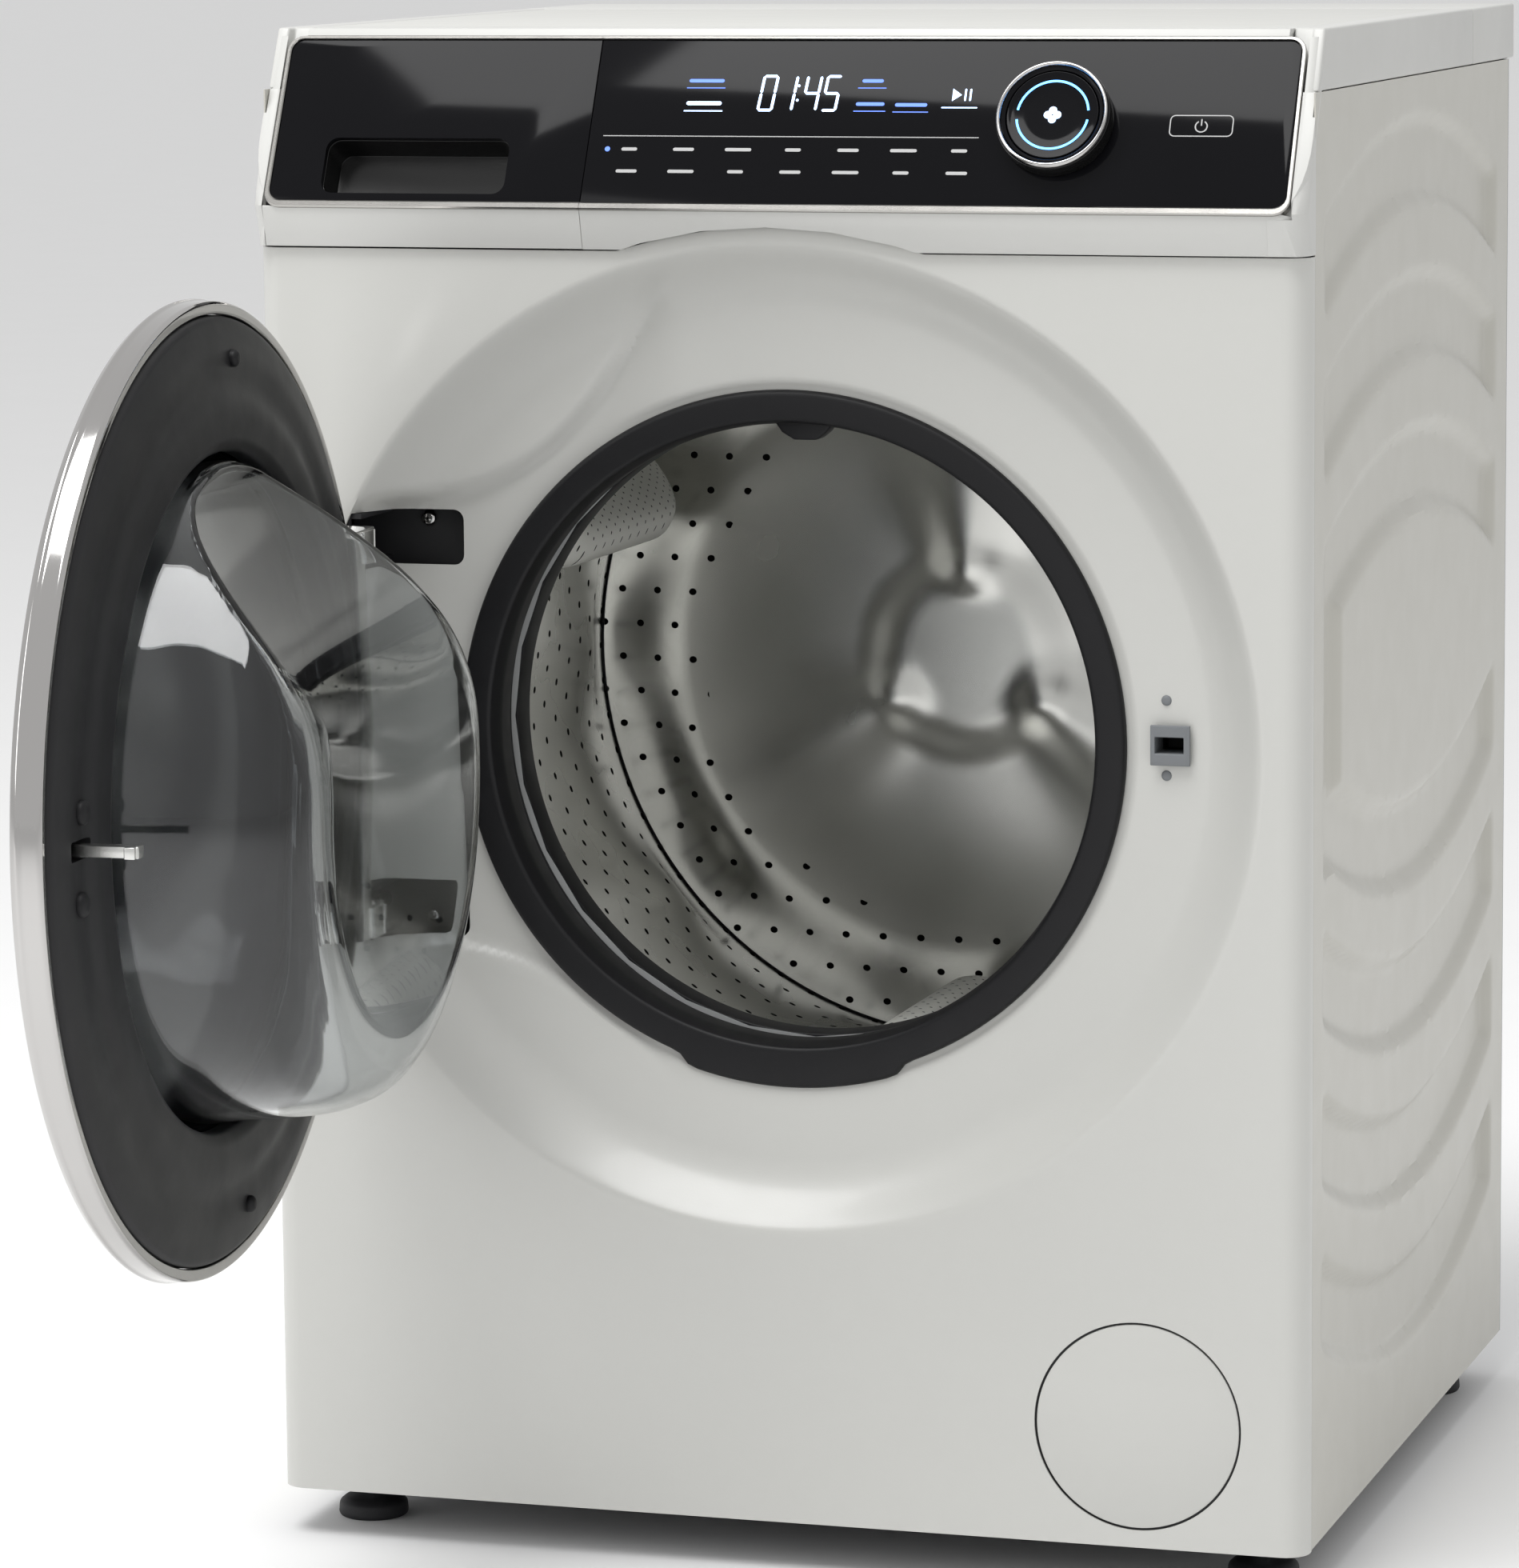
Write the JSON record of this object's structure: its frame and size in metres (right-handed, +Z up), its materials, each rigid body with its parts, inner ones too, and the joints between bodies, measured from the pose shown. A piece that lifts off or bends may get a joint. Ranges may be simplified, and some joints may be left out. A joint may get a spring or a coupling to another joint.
{
  "type": "front load washing machine",
  "caption": "Free-standing front load washing machine: white cabinet, round glass-bowl door on a side hinge, black control fascia with a detergent drawer and a turning knob.",
  "frame": {"origin": "centre of the footprint of the whole machine with its door open, at floor level", "axes": "+Z up, the door and controls face -Y, +X to the right as seen from the front; +Y runs to the back"},
  "size_m": [0.595, 1.0691, 0.85],
  "materials": {
    "white": "satin white enamel",
    "plasticWhite": "satin",
    "black": "high gloss",
    "darkPlastic": "fine texture",
    "rubber": "matte",
    "chrome": "polished",
    "steel": "brushed",
    "galvanised": "zinc coated",
    "castMetal": "as cast",
    "glass": "clear",
    "tintedGlass": "dark tint",
    "tubPlastic": "moulded",
    "concrete": "rough cast",
    "copper": "wound",
    "board": "printed board"
  },
  "bodies": {
    "cabinet": {"front_panel": "white", "side_panel_left": "white", "side_panel_right": "white", "rear_panel": "galvanised", "rear_service_cover": "galvanised", "base_tray": "darkPlastic", "worktop_frame": "plasticWhite", "worktop_rear_trim": "plasticWhite", "worktop_board": "plasticWhite", "console_housing": "plasticWhite", "fascia_trim": "chrome", "fascia_glass": "black", "control_board": "board", "knob_face": "black", "dispenser_housing": "tubPlastic", "door_lock_bezel": "castMetal", "door_lock": "darkPlastic", "door_hinge_bracket": "castMetal", "door_gasket": "rubber", "drain_pump": "darkPlastic", "inlet_valve": "plasticWhite", "mains_cable_gland": "darkPlastic", "damper_cylinder_left": "darkPlastic", "suspension_spring_left": "steel", "damper_cylinder_right": "darkPlastic", "suspension_spring_right": "steel"},
    "tub": {"tub_front": "tubPlastic", "tub_rear": "tubPlastic", "counterweight_upper": "concrete", "counterweight_lower": "concrete", "motor_stator": "copper", "drum_bearing": "steel", "water_heater": "steel", "damper_rod_left": "steel", "damper_rod_right": "steel"},
    "drum": {"drum_shell": "steel", "drum_back": "steel", "drum_spider": "castMetal", "drum_shaft": "steel", "motor_rotor": "galvanised", "drum_lifter_1": "plasticWhite", "drum_lifter_2": "plasticWhite", "drum_lifter_3": "plasticWhite"},
    "door": {"door_trim_ring": "chrome", "door_outer_glass": "tintedGlass", "door_inner_frame": "darkPlastic", "door_bowl": "glass", "door_hinge_arm": "castMetal"},
    "drawer": {"drawer_tray": "plasticWhite", "drawer_front": "plasticWhite", "drawer_glass": "black", "drawer_trim": "chrome"},
    "door_hook": {"door_hook": "steel"},
    "program_knob": {"program_knob_ring": "chrome"},
    "filter_flap": {"filter_flap": "plasticWhite"},
    "filter_cap": {"filter_cap": "plasticWhite"},
    "foot_front_left": {"levelling_foot_front_left": "rubber"},
    "foot_rear_left": {"levelling_foot_rear_left": "rubber"},
    "foot_front_right": {"levelling_foot_front_right": "rubber"},
    "foot_rear_right": {"levelling_foot_rear_right": "rubber"}
  },
  "joints": [
    {"name": "door_hinge", "type": "hinge", "parent": "cabinet", "child": "door", "pos_m": [-0.2481, -0.03076, 0.463], "axis": [0, 0, 1], "range_deg": [-5, 86.9]},
    {"name": "door_hook_pivot", "type": "hinge", "parent": "door", "child": "door_hook", "pos_m": [-0.21746, -0.49488, 0.466], "axis": [0, 0, 1], "range_deg": [-3, 3], "stiffness_Nm_per_rad": 1},
    {"name": "drawer_slide", "type": "slide", "parent": "cabinet", "child": "drawer", "axis": [0, -1, 0], "range_m": [0, 0.2]},
    {"name": "program_knob_turn", "type": "hinge", "parent": "cabinet", "child": "program_knob", "pos_m": [0.1573, -0.02314, 0.80024], "axis": [0, -0.8944, 0.4472], "continuous": true},
    {"name": "tub_bounce", "type": "slide", "parent": "cabinet", "child": "tub", "axis": [0, 0, 1], "range_m": [-0.009, 0.009], "stiffness_N_per_m": 16000, "springref_m": 0.02089, "deforming": ["door_gasket", "suspension_spring_left", "suspension_spring_right"]},
    {"name": "drum_spin", "type": "hinge", "parent": "tub", "child": "drum", "pos_m": [0, 0.22274, 0.463], "axis": [0, 1, 0], "continuous": true},
    {"name": "filter_flap_hinge", "type": "hinge", "parent": "cabinet", "child": "filter_flap", "pos_m": [0.204, -0.03726, 0.0379], "axis": [1, 0, 0], "range_deg": [0, 95]},
    {"name": "filter_cap_turn", "type": "hinge", "parent": "cabinet", "child": "filter_cap", "pos_m": [0.204, -0.01726, 0.0945], "axis": [0, 1, 0], "range_deg": [-100, 0]},
    {"name": "foot_front_left_height", "type": "slide", "parent": "cabinet", "child": "foot_front_left", "axis": [0, 0, -1], "range_m": [-0.01, 0.015]},
    {"name": "foot_rear_left_height", "type": "slide", "parent": "cabinet", "child": "foot_rear_left", "axis": [0, 0, -1], "range_m": [-0.01, 0.015]},
    {"name": "foot_front_right_height", "type": "slide", "parent": "cabinet", "child": "foot_front_right", "axis": [0, 0, -1], "range_m": [-0.01, 0.015]},
    {"name": "foot_rear_right_height", "type": "slide", "parent": "cabinet", "child": "foot_rear_right", "axis": [0, 0, -1], "range_m": [-0.01, 0.015]}
  ]
}
